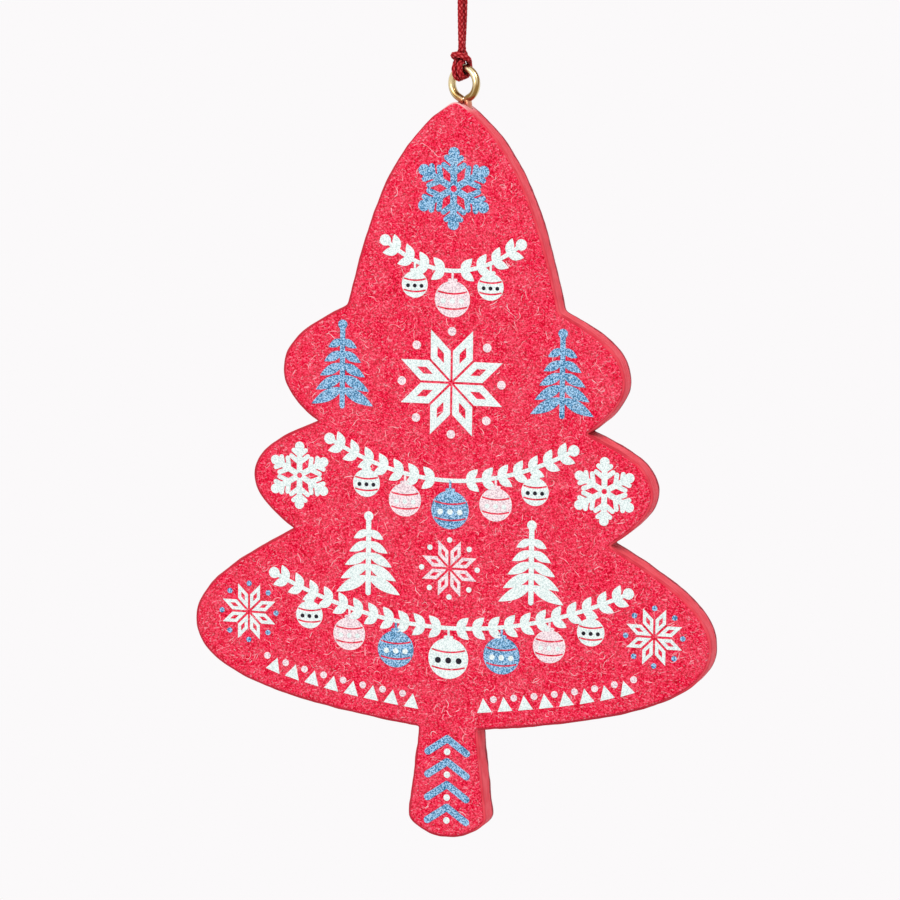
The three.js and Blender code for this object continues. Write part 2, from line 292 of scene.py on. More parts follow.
def evenly(points, step):
    """Points a step apart along an open line."""
    lengths = [0.0]
    for a, b in zip(points, points[1:]):
        lengths.append(lengths[-1] + (b - a).length)
    count = max(2, round(lengths[-1] / step))
    spaced, at = [], 0
    for i in range(count + 1):
        goal = lengths[-1] * i / count
        while at < len(points) - 2 and lengths[at + 1] < goal:
            at += 1
        share = (goal - lengths[at]) / max(lengths[at + 1] - lengths[at], 1e-9)
        spaced.append(points[at].lerp(points[at + 1], share))
    return spaced


def through(points, steps=24):
    """A centripetal Catmull-Rom curve through points."""
    ends = [2 * points[0] - points[1], *points, 2 * points[-1] - points[-2]]
    line = []
    for p0, p1, p2, p3 in zip(ends, ends[1:], ends[2:], ends[3:]):
        d0, d1, d2 = (math.sqrt((b - a).length) for a, b in ((p0, p1), (p1, p2), (p2, p3)))
        leave = ((p1 - p0) / d0 - (p2 - p0) / (d0 + d1) + (p2 - p1) / d1) * d1
        reach = ((p2 - p1) / d1 - (p3 - p1) / (d1 + d2) + (p3 - p2) / d2) * d1
        line += geometry.interpolate_bezier(p1, p1 + leave / 3, p2 - reach / 3, p2, steps + 1)[:-1]
    return [*line, points[-1]]


def add_tube(name, centres, sides, radius, material):
    """A closed tube along centres, with a radius from the length along and the share around it."""
    rings = []
    along = 0.0
    normal = (centres[1] - centres[0]).orthogonal().normalized()
    last = len(centres) - 1
    for i, centre in enumerate(centres):
        tangent = (centres[min(i + 1, last)] - centres[max(i - 1, 0)]).normalized()
        normal = (normal - tangent * normal.dot(tangent)).normalized()
        side = tangent.cross(normal)
        along += (centre - centres[max(i - 1, 0)]).length
        ring = []
        for k in range(sides):
            angle = 2 * math.pi * k / sides
            reach = normal * math.cos(angle) + side * math.sin(angle)
            ring.append(centre + reach * radius(along, k / sides))
        rings.append((along, centre, tangent, ring))
    points, faces, uv = tube_faces(rings, sides)
    return add_mesh(name, points, faces, material, uv)


def tube_faces(rings, sides):
    """A tube's walls and two domed ends, with the length along and the share around at each corner."""
    domed = [dome(rings[0], -1, lift) for lift in reversed(DOME_LIFTS)] + rings
    domed += [dome(rings[-1], 1, lift) for lift in DOME_LIFTS]
    points = [p for ring in domed for p in ring[3]]
    faces, uv = [], []
    for i in range(len(domed) - 1):
        low, high = domed[i][0], domed[i + 1][0]
        for k in range(sides):
            n = (k + 1) % sides
            faces.append((i * sides + k, i * sides + n, (i + 1) * sides + n, (i + 1) * sides + k))
            left, right = k / sides, (k + 1) / sides
            uv += [(low, left), (low, right), (high, right), (high, left)]
    top = (len(domed) - 1) * sides
    faces += [tuple(reversed(range(sides))), tuple(range(top, top + sides))]
    uv += [(domed[0][0], 0.0)] * sides + [(domed[-1][0], 0.0)] * sides
    return points, faces, uv


def dome(ring, way, lift):
    """A smaller ring past an end ring, at a lift up the dome that closes the tube there."""
    along, centre, tangent, points = ring
    size = (points[0] - centre).length
    shrink = math.sqrt(1 - lift * lift)
    shift = tangent * (way * lift * size * DOME_HEIGHT)
    moved = [centre + (p - centre) * shrink + shift for p in points]
    return along + way * lift * size, centre + shift, tangent, moved


def dress(piece, body, slot, *nodes):
    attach(piece, body)
    if nodes:
        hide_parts(*nodes)


# Materials

def srgb(red, green, blue):
    """A linear colour from its 0 to 255 screen values."""
    def linear(value):
        value /= 255
        return value / 12.92 if value <= 0.04045 else ((value + 0.055) / 1.055) ** 2.4
    return (linear(red), linear(green), linear(blue), 1.0)


class Finish:
    """A material whose nodes are added by kind, with settings and with inputs by name."""

    def __init__(self, name, roughness, **shader):
        self.material = bpy.data.materials.new(name)
        self.material.use_nodes = True
        self.tree = self.material.node_tree
        self.shader = self.tree.nodes["Principled BSDF"]
        self.feed(self.shader, {"Roughness": roughness, **shader})
        place = self.add("TexCoord").outputs["Object"]
        self.place = self.vector("MULTIPLY", place, (1 / MM, 1 / MM, 1 / MM))

    def feed(self, node, inputs):
        for key, value in inputs.items():
            if isinstance(value, bpy.types.NodeSocket):
                self.tree.links.new(value, node.inputs[key])
            else:
                node.inputs[key].default_value = value

    def add(self, kind, inputs=None, **settings):
        node = self.tree.nodes.new("ShaderNode" + kind)
        for key, value in settings.items():
            setattr(node, key, value)
        self.feed(node, inputs or {})
        return node

    def math(self, operation, a, b=0.0):
        return self.add("Math", {0: a, 1: b}, operation=operation).outputs[0]

    def vector(self, operation, *inputs):
        return self.add("VectorMath", dict(enumerate(inputs)), operation=operation).outputs[0]

    def spread(self, value, low, high, to_low=0.0, to_high=1.0):
        ends = {"Value": value, "From Min": low, "From Max": high, "To Min": to_low, "To Max": to_high}
        return self.add("MapRange", ends).outputs["Result"]

    def mix(self, share, a, b):
        node = self.add("Mix", {0: share, 6: a, 7: b}, data_type="RGBA")
        return node.outputs[2]

    def moved(self, shift=(0, 0, 0), turn=0.0, scale=(1, 1, 1)):
        inputs = {"Vector": self.place, "Location": shift, "Scale": scale}
        inputs["Rotation"] = (0, math.radians(turn), 0)
        return self.add("Mapping", inputs, vector_type="TEXTURE").outputs[0]

    def noise(self, per_mm, detail=3.0, rough=0.55, place=None, distortion=0.0):
        inputs = {"Vector": place or self.place, "Scale": per_mm, "Detail": detail, "Roughness": rough}
        inputs["Distortion"] = distortion
        return self.add("TexNoise", inputs).outputs["Fac"]

    def strands(self, turn, seed, length, width, sparse):
        """Short pale hairs pressed into the paper, along a turned direction of its face."""
        place = self.moved((seed, 0.7 * seed, 1.3 * seed), turn, (length, 1.0, width))
        return self.spread(self.noise(1.0, 1.0, 0.5, place, 0.4), sparse, sparse + 0.12)

    def open_air(self, reach, low, high):
        """0 in deep folds and narrow corners to 1 where nothing stands within a reach."""
        node = self.add("AmbientOcclusion", {"Distance": reach * MM}, samples=8)
        return self.spread(node.outputs["AO"], low, high)

    def way_out(self):
        """How far the edge of the board faces to the right: -1 at its left side to 1 at its right."""
        normal = self.add("TexCoord").outputs["Normal"]
        level = self.vector("MULTIPLY", normal, (1, 0, 1))
        level = self.vector("NORMALIZE", level)
        return self.add("SeparateXYZ", {0: level}).outputs["X"]

    def bump(self, height, depth):
        node = self.add("Bump", {"Height": height, "Distance": depth * MM})
        self.tree.links.new(node.outputs[0], self.shader.inputs["Normal"])

    def colour(self, socket):
        self.tree.links.new(socket, self.shader.inputs["Base Color"])
        return self.material


def paper_finish(name, colours, per_mm, softness):
    """Pulp paper: a fine grain in a deep, a middle and a pale colour, with short hairs."""
    finish = Finish(name, 0.9, **{"Specular IOR Level": 0.1})
    deep, mid, pale, hair = (srgb(*colour) for colour in colours)
    cloud = finish.noise(0.45, 3.0, 0.6)
    grain = finish.noise(per_mm, 1.0, 0.6)
    base = finish.mix(finish.spread(grain, 0.5 - softness, 0.5), deep, mid)
    base = finish.mix(finish.spread(grain, 0.5, 0.5 + softness), base, pale)
    base = finish.mix(finish.spread(cloud, 0.4, 0.66, 0.0, 0.06), base, hair)
    hairs = finish.strands(12, 3.1, 0.65, 0.22, 0.64)
    for turn, seed, length in ((48, 11.7, 0.45), (-25, 23.9, 0.55)):
        hairs = finish.math("MAXIMUM", hairs, finish.strands(turn, seed, length, 0.22, 0.63))
    light = finish.math("MULTIPLY", hairs, 0.5)
    finish.bump(finish.math("ADD", grain, light), 0.03)
    return finish.colour(finish.mix(light, base, hair))


def pulp_finish():
    """Painted pulp edge: faint streaks, painted shade at rims and notches, a painted tip highlight."""
    finish = Finish("painted_pulp", 0.6, **{"Specular IOR Level": 0.15})
    streak = finish.noise(1.0, 3.0, 0.6, finish.moved(scale=(2.0, 0.33, 2.0)))
    cloud = finish.noise(0.4, 2.0)
    base = finish.mix(finish.spread(cloud, 0.35, 0.65), srgb(246, 70, 86), srgb(255, 90, 104))
    base = finish.mix(finish.spread(streak, 0.5, 0.72, 0.0, 0.3), base, srgb(255, 122, 134))
    base = finish.mix(finish.spread(streak, 0.5, 0.3, 0.0, 0.45), base, srgb(204, 40, 62))
    place = finish.add("SeparateXYZ", {0: finish.place}).outputs
    depth, height = place["Y"], place["Z"]
    # Painted shade: a dark line along the front rim by the front paper, heavier where the edge faces
    # left.
    front_rim_shade = finish.spread(depth, FRONT_Y + 0.25, FRONT_Y + 0.5, 1.0, 0.0)
    shade_by_side = finish.spread(finish.way_out(), 0.35, 0.65, 0.75, 0.28)
    base = finish.mix(finish.math("MULTIPLY", front_rim_shade, shade_by_side), base, srgb(168, 10, 40))
    # Painted shade: a ragged dark band along the back of the edge.
    drift = finish.spread(finish.noise(0.9, 2.0), 0.3, 0.7, -0.35, 0.35)
    ragged = finish.math("ADD", depth, drift)
    back_edge_shade = finish.spread(ragged, BACK_Y - 1.15, BACK_Y - 0.8, 0.0, 0.9)
    base = finish.mix(back_edge_shade, base, srgb(150, 14, 38))
    # Painted shade in notches and folds, from ambient occlusion, left off within 2 to 4 mm of the tip.
    lit_share = finish.spread(height, TIP_Z - 4.0, TIP_Z - 2.0)
    unshaded = finish.math("MAXIMUM", finish.open_air(3.5, 0.1, 0.75), lit_share)
    base = finish.mix(unshaded, srgb(158, 20, 40), base)
    # Painted highlight on the top of the tip.
    pale = finish.spread(height, TIP_Z - 1.6, TIP_Z - 0.5, 0.0, 0.75)
    base = finish.mix(pale, base, srgb(255, 206, 204))
    finish.bump(finish.math("ADD", streak, finish.noise(1.4, 3.0)), 0.04)
    return finish.colour(base)


def hair_finish():
    """Loose pulp hairs, from the red of the paper to nearly white."""
    finish = Finish("paper_hairs", 0.75, **{"Specular IOR Level": 0.25})
    tone = finish.spread(finish.noise(0.8, 1.0), 0.4, 0.62)
    return finish.colour(finish.mix(tone, srgb(250, 112, 130), srgb(255, 222, 228)))


def brass_finish():
    """Drawn brass wire, fine lines along it, broad painted dark reflections, painted red reflection and
    shade at its foot.
    """
    finish = Finish("drawn_brass", 0.24, **{"Metallic": 1.0})
    surface = finish.add("UVMap").outputs[0]
    broad = finish.add("Mapping", {"Vector": surface, "Scale": (0.16, 6.0, 1.0)}).outputs[0]
    along = finish.add("Mapping", {"Vector": surface, "Scale": (0.25, 22.0, 1.0)}).outputs[0]
    bands = finish.noise(1.0, 2.0, 0.5, broad)
    lines = finish.noise(1.0, 3.0, 0.6, along)
    # Painted reflection: broad browner bands round the wire stand for the dark room mirrored in it.
    base = finish.mix(finish.spread(bands, 0.46, 0.56), srgb(232, 214, 168), srgb(148, 114, 60))
    base = finish.mix(finish.spread(lines, 0.48, 0.7, 0.0, 0.5), base, srgb(128, 98, 52))
    # Painted red reflection of the board and painted shade where the wire goes into the board.
    height = finish.add("SeparateXYZ", {0: finish.place}).outputs["Z"]
    painted = finish.spread(height, TIP_Z - 0.5, TIP_Z + 0.7, 0.8, 0.0)
    base = finish.mix(painted, base, srgb(204, 104, 98))
    finish.feed(finish.shader, {"Roughness": finish.spread(lines, 0.35, 0.7, 0.18, 0.32)})
    finish.bump(lines, 0.004)
    return finish.colour(base)


def cord_finish():
    """Waxed red cord: painted shade in its folds and between its yarns, painted highlights on their
    crowns.
    """
    finish = Finish("waxed_cord", 0.6, **{"Specular IOR Level": 0.1})
    surface = finish.add("UVMap").outputs[0]
    slanted = {"Vector": surface, "Rotation": (0, 0, 0.9), "Scale": (6, 34, 1)}
    lean = finish.add("Mapping", slanted).outputs[0]
    filaments = finish.noise(1.0, 2.0, 0.5, lean)
    crown = finish.add("Attribute", attribute_name="crown").outputs["Fac"]
    # Painted shade between the yarns and painted highlights on their crowns, in patches.
    lit_share = finish.spread(finish.noise(1.5, 2.0), 0.38, 0.62, 0.15, 0.9)
    crown_highlight = finish.math("MULTIPLY", finish.spread(crown, 0.7, 1.0), lit_share)
    base = finish.mix(finish.spread(crown, 0.2, 0.7), srgb(92, 0, 6), srgb(178, 20, 30))
    base = finish.mix(crown_highlight, base, srgb(244, 116, 118))
    base = finish.mix(finish.spread(filaments, 0.5, 0.75, 0.0, 0.3), base, srgb(206, 58, 66))
    # Painted shade in the cord's folds and crevices, from ambient occlusion.
    base = finish.mix(finish.open_air(0.9, 0.2, 0.75), srgb(48, 0, 6), base)
    finish.bump(filaments, 0.02)
    return finish.colour(base)


# Cord

def hang(side, front, up):
    """A point of the hanger: sideways, to the front and up from the ring's wire in the hitch."""
    return PIVOT + HANGER_X * side - HANGER_Y * front + Vector((0, 0, up))


def loop_point(out, front, height):
    """A point of the loop at a height from its held point, in the plane its strands have turned to."""
    share = min(1, max(0, (height - FOOT_HEIGHT) / FOOT_RISE))
    turn = FOOT_TURN + (STRAND_TURN - FOOT_TURN) * share
    side = out * math.cos(turn) + front * math.sin(turn)
    return hang(side, front * math.cos(turn) - out * math.sin(turn), height - PIVOT.z)


def braid_crown(along, around):
    """How far a spot of the cord stands out: 0 between yarns to 1 on the crown of an upper one."""
    a = YARNS * around + along / BRAID_PITCH
    b = YARNS * around - along / BRAID_PITCH
    over = (math.floor(a) + math.floor(b)) % 2 == 0
    across, length = (a, b) if over else (b, a)
    ridge = 1 - YARN_ROUND * (2 * (across % 1) - 1) ** 2
    return ridge * (1 - YARN_DIVE * (2 * (length % 1) - 1) ** 2)


def braid(along, around):
    return CORD_RADIUS * (BRAID_CORE + BRAID_RELIEF * braid_crown(along, around))


def add_cord(name, line, material):
    """A braided length of cord, whose crowns are kept for its painted shade and highlights."""
    piece = add_tube(name, evenly(line, BRAID_STEP), CORD_SIDES, braid, material)
    crowns = [braid_crown(*corner.uv) for corner in piece.data.uv_layers["surface"].data]
    piece.data.attributes.new("crown", "FLOAT", "CORNER").data.foreach_set("value", crowns)
    return piece


def strand_route(side):
    """A strand from the hitch up to the end knot: [sideways, up from the loop's held point]."""
    near = STRAND_SPACING / 2
    route = (
        (near, -42.62), (near, -38.5), (near, -34.2), (near, -30.0), (near, -25.96), (near, -22.0),
        (near, -19.11), (near + 0.08, -15.0), (0.95, -12.9), (1.48, -10.95), (2.0, -9.2), (2.36, -7.5),
        (2.7, -4.8), (2.25, -2.25), (1.6, -1.2), (1.14, -0.45), (near, 1.0),
    )
    return [loop_point(side * out, 0, height) for out, height in route]


def hitch_half(side):
    """Half of the hitch, from a leg round the ring's wire to the bar that crosses before both legs."""
    wrap = WIRE_RADIUS + CORD_RADIUS + HITCH_CLEARANCE
    bar = BAR_HEIGHT
    leg = STRAND_SPACING / 2
    rise = math.sqrt(RING_RADIUS ** 2 - (side * leg - HITCH_OFF_CENTRE) ** 2)
    wire = rise - RING_DROP
    under = wrap * RING_RADIUS / rise

    def turned(share, up):
        turn = share * FOOT_TURN
        return (leg * math.cos(turn), -side * leg * math.sin(turn), up)

    route = (
        turned(1.0, HITCH_HEIGHT),
        turned(0.93, 1.32 * bar),
        turned(0.5, 0.97 * bar),
        (leg, (0.4 - 0.1 * side) * wrap, 0.63 * bar),
        (leg, 0.84 * wrap, wire + 0.6 * wrap),
        (leg, wrap, wire),
        (leg, 0.7 * wrap, wire - 0.74 * under),
        (leg, 0, wire - 1.04 * under),
        (leg, -0.74 * wrap, wire - 0.74 * under),
        (leg + 0.02, -1.03 * wrap, wire),
        (leg + 0.1, -0.9 * wrap, wire + 0.62 * wrap),
        *((out + leg, front, up * bar) for out, front, up in HITCH_TURNS[side]),
    )
    return [hang(side * out, front, up) for out, front, up in route]


def make_cord():
    material = cord_finish()
    middle = hang(0, BAR_FRONT, BAR_ARCH * BAR_HEIGHT)
    hitch_line = through([*hitch_half(-1), middle, *reversed(hitch_half(1))])
    hitch = add_cord("cord_hitch_wrap", hitch_line, material)
    dress(hitch, "hitch", "cord", "cord_hitch")
    knot = make_knot(material)
    for side, name in ((-1, "left"), (1, "right")):
        line = through(strand_route(side))
        strand = add_cord("cord_braid_" + name, line, material)
        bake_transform(strand)
        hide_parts("cord_strand_" + name)
        path = [metres(p) for p in evenly(line, BRAID_STEP)]


def make_knot(material):
    """The overhand knot of the cord's two ends with their tails: [sideways, to the front, up]."""
    turns = (
        (0.0, 0.0, 0.9), (0.0, 0.1, 1.5), (-0.35, 0.55, 2.2), (-0.85, 0.2, 3.0), (-0.55, -0.6, 3.5),
        (0.35, -0.75, 3.3), (0.95, -0.1, 2.7), (0.55, 0.75, 2.2), (-0.4, 0.95, 2.3), (-0.95, 0.1, 2.6),
        (-0.3, -0.55, 2.9), (0.2, -0.1, 3.6), (0.25, 0.0, 4.6), (0.3, 0.0, 6.0),
    )
    pieces = []
    for side, name in ((-1, "left"), (1, "right")):
        line = [loop_point(x + side * KNOT_SPACING, y, z) for x, y, z in turns]
        line.append(loop_point(TAIL_OUT + side * TAIL_SPREAD, 0.0, TAIL_TOP))
        pieces.append(add_cord("cord_knot_" + name, through(line), material))
    dress(pieces[0], "cord", "cord", "cord_end_knot")
    dress(pieces[1], "cord", "cord")
    return pieces[0]


# Screw eye

def eye_line():
    """The wire from the foot of its shank, over the bent neck and round the ring to the seam."""
    def spot(side, up):
        return hang(HITCH_OFF_CENTRE + side, 0, up - RING_DROP)

    def on_ring(angle):
        return spot(RING_RADIUS * math.cos(angle), RING_RADIUS * math.sin(angle))

    neck = Vector((*SHANK_HEAD[:2], NECK_Z))
    foot = neck - Vector((0, 0, SHANK_LENGTH))
    rise = Vector((0, 0, NECK_RISE))
    join = on_ring(RING_JOIN)
    ahead = HANGER_X * -math.sin(RING_JOIN) + Vector((0, 0, math.cos(RING_JOIN)))
    bend = (neck, neck + rise, join - ahead * NECK_LEAD, join)
    sweep = RING_END - RING_JOIN
    line = [foot.lerp(neck, i / SHANK_STEPS) for i in range(SHANK_STEPS)]
    line += geometry.interpolate_bezier(*bend, NECK_STEPS)[:-1]
    line += [on_ring(RING_JOIN + sweep * i / RING_STEPS) for i in range(RING_STEPS + 1)]
    return [*line, spot(*ring_end())]


def ring_end():
    """The cut end of the ring, which leaves the round and runs straight to the neck: sideways and up."""
    ahead = Vector((-math.sin(RING_END), math.cos(RING_END)))
    start = Vector((math.cos(RING_END), math.sin(RING_END))) * RING_RADIUS
    end_side = SHANK_OFFSET - SEAM_GAP - WIRE_RADIUS * (1 - ahead.y)
    return start + ahead * ((end_side - start.x) / ahead.x)


def eye_radius(along, around):
    """The wire's radius: a point, a thread cut up the shank, then the drawn wire."""
    taper = min(1.0, POINT_SHARE + (1 - POINT_SHARE) * along / SHANK_POINT)
    turn = (along / THREAD_PITCH - around) % 1
    fade = min(max((SHANK_LENGTH - THREAD_END - along) / THREAD_FADE, 0), 1)
    groove = THREAD_DEPTH * (0.5 + 0.5 * math.cos(2 * math.pi * turn)) ** 2 * fade
    return WIRE_RADIUS * taper - groove * taper


def make_eye():
    centres = evenly(eye_line(), EYE_STEP)
    eye = add_tube("eye_wire", centres, EYE_SIDES, eye_radius, brass_finish())
    dress(eye, "eye", "brass", "screw_eye")


# Board and papers

def smoothed(loop, share):
    n = len(loop)
    return [p.lerp((loop[i - 1] + loop[(i + 1) % n]) / 2, share) for i, p in enumerate(loop)]


def board_outline():
    pen, half = Vector((0, 0)), []
    for lead, (half_width, drop), trail in HALF_OUTLINE:
        end = Vector((half_width, pen.y - drop))
        handles = (pen + Vector(lead), end + Vector(trail))
        half += geometry.interpolate_bezier(pen, *handles, end, STRETCH_STEPS)[:-1]
        pen = end
    whole = [*half, pen, *(Vector((-p.x, p.y)) for p in reversed(half))]
    loop = evenly(whole, OUTLINE_STEP)[:-1]
    for _ in range(CORNER_ROUNDS):
        loop = smoothed(loop, CORNER_SHARE)
    return loop


def outward(loop):
    n = len(loop)
    along = [loop[(i + 1) % n] - loop[i - 1] for i in range(n)]
    return [Vector((-d.y, d.x)).normalized() for d in along]


def inset(loop, distance):
    """The loop drawn in by small steps, with corners kept from folding."""
    steps = max(1, math.ceil(distance / INSET_STEP))
    for _ in range(steps):
        loop = [p - n * (distance / steps) for p, n in zip(loop, outward(loop))]
        loop = smoothed(loop, INSET_SHARE)
    return loop


def filled(loops, grid=0.0, cuts=()):
    """The area inside any of loops and in none of cuts: points, triangles and each point's sources."""
    shapes = [*loops, *cuts]
    points = [p for shape in shapes for p in shape]
    faces, start = [], 0
    for shape in shapes:
        corners = list(range(start, start + len(shape)))
        faces.append(corners if turns_left(shape) else corners[::-1])
        start += len(shape)
    if grid:
        points += grid_points(loops, grid)
    flat, _, triangles, sources, _, owners = geometry.delaunay_2d_cdt(points, [], faces, 0, WELD)
    kept = []
    for triangle, inside in zip(triangles, owners):
        if any(i < len(loops) for i in inside) and not any(i >= len(loops) for i in inside):
            kept.append(triangle)
    return flat, kept, sources


def turns_left(loop):
    return sum(a.cross(b) for a, b in zip(loop, [*loop[1:], loop[0]])) > 0


def spans(loops):
    """The least and the greatest x of loops, and then of y."""
    xs = [p.x for loop in loops for p in loop]
    ys = [p.y for loop in loops for p in loop]
    return (min(xs), max(xs)), (min(ys), max(ys))


def grid_points(loops, grid):
    """Points over loops in staggered rows."""
    (left, right), (low, high) = spans(loops)
    rows = math.ceil((high - low) / (grid * GRID_ROW))
    columns = math.ceil((right - left) / grid)
    return [Vector((left + (c + 0.5 * (r % 2)) * grid, low + r * grid * GRID_ROW))
            for r in range(rows) for c in range(columns + 1)]


def paper_relief(x, y):
    """Height of the paper's gentle cockling and grain."""
    wave = noise.noise(Vector((x / PAPER_WAVE_RUN, y / PAPER_WAVE_RUN, PAPER_WAVE_LAYER)))
    grain = noise.noise(Vector((x / PAPER_GRAIN_RUN, y / PAPER_GRAIN_RUN, PAPER_GRAIN_LAYER)))
    return PAPER_WAVE * wave + PAPER_GRAIN * grain


def board_point(point, y):
    return Vector((AXIS_X + point.x, y, TIP_Z + point.y))


def add_slab(name, rims, material, grid=0.0, facing=-1, relief=None):
    """A closed slab. rims are loops with their depths, from its outer face to its far side."""
    n = len(rims[0][0])
    points = [board_point(p, y) for loop, y in rims for p in loop]
    faces = []
    for r in range(len(rims) - 1):
        for i in range(n):
            j = (i + 1) % n
            faces.append((r * n + i, r * n + j, (r + 1) * n + j, (r + 1) * n + i))
    for r, spacing, turned in ((0, grid, False), (len(rims) - 1, 0.0, True)):
        loop, y = rims[r]
        flat, triangles, sources = filled([loop], spacing)
        number = {}
        for i in sorted({i for t in triangles for i in t}):
            ring = [source for source in sources[i] if source < n]
            if ring:
                number[i] = r * n + ring[0]
            else:
                number[i] = len(points)
                lift = relief(flat[i].x, flat[i].y) if relief else 0.0
                points.append(board_point(flat[i], y + facing * lift))
        faces += [tuple(number[i] for i in (reversed(t) if turned else t)) for t in triangles]
    if facing > 0:
        faces = [tuple(reversed(f)) for f in faces]
    return add_mesh(name, points, faces, material)


def make_board(outline):
    rims = []
    for k in range(FRONT_RINGS + 1):
        angle = math.pi / 2 * k / FRONT_RINGS
        rims.append((FRONT_ROUND * (1 - math.sin(angle)), FRONT_Y + FRONT_ROUND * (1 - math.cos(angle))))
    span = BACK_Y - BACK_ROUND - FRONT_Y - FRONT_ROUND
    rims += [(0.0, FRONT_Y + FRONT_ROUND + span * k / SIDE_RINGS) for k in range(1, SIDE_RINGS + 1)]
    for k in range(1, BACK_RINGS + 1):
        angle = math.pi / 2 * k / BACK_RINGS
        rims.append((BACK_ROUND * (1 - math.cos(angle)), BACK_Y - BACK_ROUND * (1 - math.sin(angle))))
    loops = [(waved(inset(outline, depth) if depth else outline, y), y) for depth, y in rims]
    board = add_slab("pulp_board", loops, pulp_finish())
    drill(board, WIRE_RADIUS + BORE_CLEARANCE, NECK_Z - BORE_DEPTH)
    ring_foot = ring_end().y + WIRE_RADIUS * math.sin(RING_END)
    drill(board, BED_RADIUS, PIVOT.z - RING_DROP + ring_foot - BED_CLEARANCE)
    dress(board, "board", "pulp", "pulp_core")


def waved(loop, y):
    """The loop moved in and out a little, as a cut and painted pulp edge is, most at the trunk."""
    moved = []
    for p, n in zip(loop, outward(loop)):
        size = TRUNK_WAVE if -p.y > TRUNK_TOP else SIDE_WAVE
        broad = noise.noise(Vector((p.x / WAVE_RUN, y / WAVE_DEPTH, p.y / WAVE_RUN)))
        wave = broad + FINE_WAVE * noise.noise(Vector((p.x, y, p.y)))
        moved.append(p + n * (size * wave + EDGE_SWELL * min(1, -p.y / SWELL_RUN)))
    return moved


def drill(board, radius, floor):
    """A round hole down into the board's top edge, about the screw eye's shank."""
    height = TIP_Z + BORE_DEPTH - floor
    cutter = bpy.data.meshes.new("drill")
    shape = bmesh.new()
    bmesh.ops.create_cone(shape, cap_ends=True, segments=BORE_SIDES, radius1=radius * MM,
                          radius2=radius * MM, depth=height * MM)
    shape.to_mesh(cutter)
    shape.free()
    tool = bpy.data.objects.new("drill", cutter)
    tool.location = metres((*SHANK_HEAD[:2], floor + height / 2))
    bpy.context.scene.collection.objects.link(tool)
    cut = board.modifiers.new("drill", "BOOLEAN")
    cut.operation = "DIFFERENCE"
    cut.solver = "EXACT"
    cut.object = tool
    shaped = board.evaluated_get(bpy.context.evaluated_depsgraph_get())
    mesh = bpy.data.meshes.new_from_object(shaped)
    board.modifiers.clear()
    board.data = mesh
    bpy.data.objects.remove(tool)


def make_papers(outline):
    red = paper_finish("red_paper", RED_PAPER, PAPER_GRAIN_PER_MM, PAPER_SOFTNESS)
    hairs = hair_finish()
    for name, face, facing in (("front", FRONT_Y, -1), ("back", BACK_Y, 1)):
        rims = [(inset(outline, inward), face - facing * depth) for inward, depth in reversed(PAPER_RIM)]
        paper = add_slab("paper_" + name, rims, red, PAPER_GRID, facing, paper_relief)
        dress(paper, "board", "facing_paper", name + "_paper")
        add_fibres("fibres_" + name, outline, face, facing, hairs)


def fibre_line(draw, x_span, y_span):
    """The bent line of one hair at a place drawn within two spans, and its radius."""
    line = [Vector((draw.uniform(*x_span), draw.uniform(*y_span)))]
    heading = draw.uniform(0, 360)
    bend = draw.gauss(0, FIBRE_BEND)
    length = draw.uniform(*FIBRE_LENGTH) * draw.uniform(0.5, 1.0)
    radius = draw.uniform(*FIBRE_RADIUS)
    for _ in range(FIBRE_STEPS):
        line.append(line[-1] + ray(heading, length / FIBRE_STEPS))
        heading += bend / FIBRE_STEPS + draw.gauss(0, FIBRE_JITTER)
    return line, radius


def add_fibres(name, outline, face, facing, material):
    """Loose hairs of the pulp pressed into a facing paper: thin closed threads that follow its face."""
    draw = random.Random(FIBRE_SEED + facing)
    loop = inset(outline, FIBRE_MARGIN)
    x_span, y_span = spans([loop])
    points, faces = [], []
    made = 0
    while made < FIBRES:
        line, radius = fibre_line(draw, x_span, y_span)
        if not all(within(p, loop) for p in (line[0], line[FIBRE_STEPS // 2], line[-1])):
            continue
        made += 1
        start = len(points)
        for i, p in enumerate(line):
            ahead = (line[min(i + 1, FIBRE_STEPS)] - line[max(i - 1, 0)]).normalized()
            taper = FIBRE_TAPER if i in (0, FIBRE_STEPS) else 1.0
            across = Vector((-ahead.y, ahead.x)) * radius * taper
            top = face + facing * (PAPER_THICKNESS + paper_relief(p.x, p.y))
            foot = top - facing * FIBRE_SINK
            points += [board_point(p - across, foot), board_point(p + across, foot)]
            points.append(board_point(p, top + facing * FIBRE_RISE * radius))
        end = start + 3 * FIBRE_STEPS
        for ring in range(start, end, 3):
            for k in range(3):
                n = (k + 1) % 3
                faces.append((ring + k, ring + n, ring + 3 + n, ring + 3 + k))
        faces += [(start + 2, start + 1, start), (end, end + 1, end + 2)]
    if facing < 0:
        faces = [tuple(reversed(f)) for f in faces]
    dress(add_mesh(name, points, faces, material), "board", "facing_paper")


def within(point, loop):
    """Whether a point lies inside a loop."""
    inside = False
    for a, b in zip(loop, [*loop[1:], loop[0]]):
        if (a.y > point.y) == (b.y > point.y):
            continue
        if point.x < a.x + (b.x - a.x) * (point.y - a.y) / (b.y - a.y):
            inside = not inside
    return inside


# Print: a decorated fir in four inks, drawn in millimetres from the board's tip

class Print:
    """The shapes of each ink, and the openings in them that show the paper or another ink."""

    def __init__(self):
        self.shapes = {ink: [] for ink in INKS}
        self.openings = {ink: [] for ink in INKS}

    def put(self, ink, *loops):
        self.shapes[ink] += loops

    def open(self, ink, *loops):
        self.openings[ink] += loops

    def inlay(self, ground, ink, *loops):
        self.open(ground, *loops)
        self.put(ink, *loops)


def at(x, drop):
    return Vector((x, -drop))


def ray(degrees, length=1.0):
    return Vector((math.cos(math.radians(degrees)), math.sin(math.radians(degrees)))) * length


def disc(centre, radius, sides=26):
    return [centre + ray(360 * i / sides, radius) for i in range(sides)]


